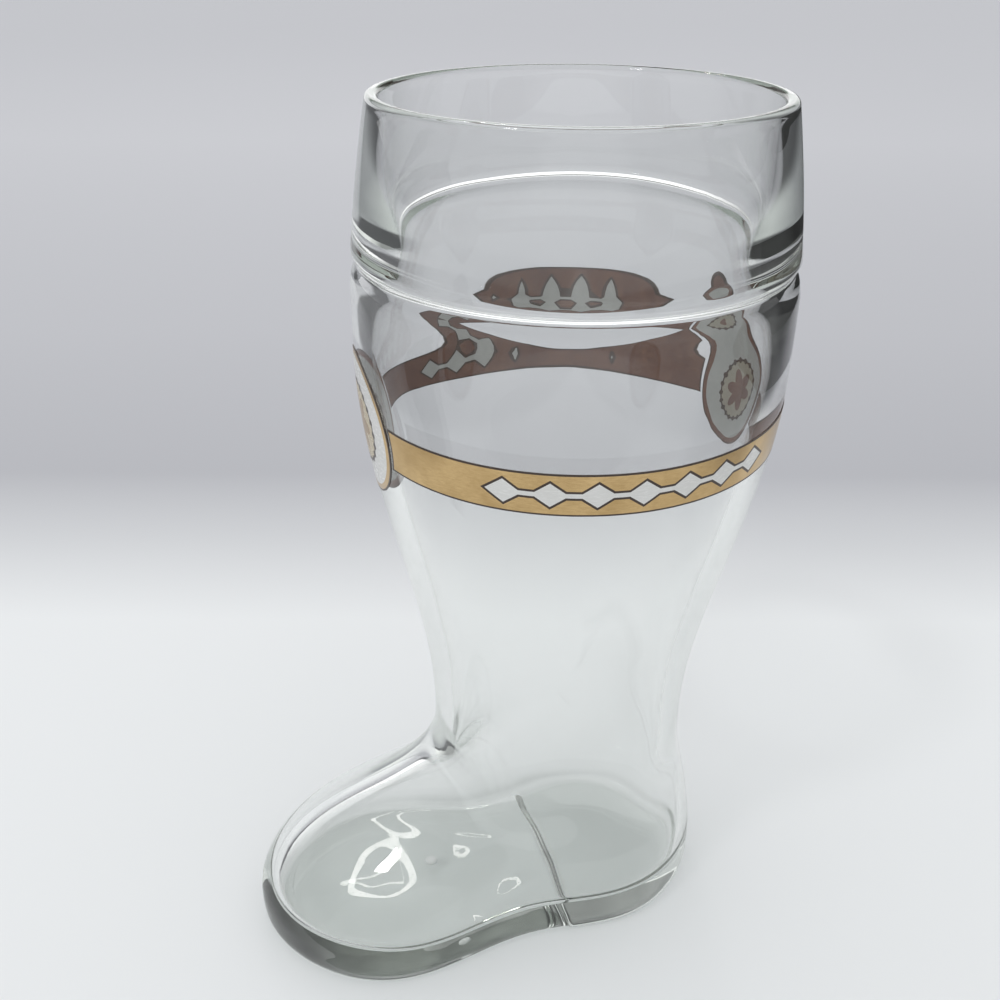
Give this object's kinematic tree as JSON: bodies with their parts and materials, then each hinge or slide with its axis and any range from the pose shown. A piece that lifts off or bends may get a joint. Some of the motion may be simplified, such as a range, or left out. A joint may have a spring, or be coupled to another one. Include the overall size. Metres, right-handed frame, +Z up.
{
  "type": "beer boot glass",
  "caption": "Clear moulded drinking glass in the shape of a riding boot, with a smooth collar, thick sole and heel, and a fired gold band between enamel medallions.",
  "frame": {"origin": "on the ground under the middle of the bounding box", "axes": "+Z up, the toe of the boot along -X and its heel along +X, Y across; the boot is alike on both sides of the XZ plane"},
  "size_m": [0.1166, 0.085, 0.19],
  "materials": {
    "clear_glass": "polished clear soda-lime glass",
    "gold": "fired bright gold, softly mirrored",
    "dark_enamel": "dark brown fired enamel",
    "white_enamel": "white fired enamel",
    "cream_enamel": "cream fired enamel"
  },
  "bodies": {
    "root": {"glass_boot": "clear_glass", "medallion_line_front": "dark_enamel", "medallion_rim_front": "gold", "medallion_field_front": "white_enamel", "medallion_beading_front": "dark_enamel", "medallion_roundel_front": "cream_enamel", "medallion_rosette_front": "gold", "medallion_line_back": "dark_enamel", "medallion_rim_back": "gold", "medallion_field_back": "white_enamel", "medallion_beading_back": "dark_enamel", "medallion_roundel_back": "cream_enamel", "medallion_rosette_back": "gold", "band_keyline_near": "dark_enamel", "band_gold_near": "gold", "band_outline_near": "dark_enamel", "band_ornament_near": "white_enamel", "band_keyline_far": "dark_enamel", "band_gold_far": "gold", "band_outline_far": "dark_enamel", "band_ornament_far": "white_enamel"}
  },
  "joints": []
}
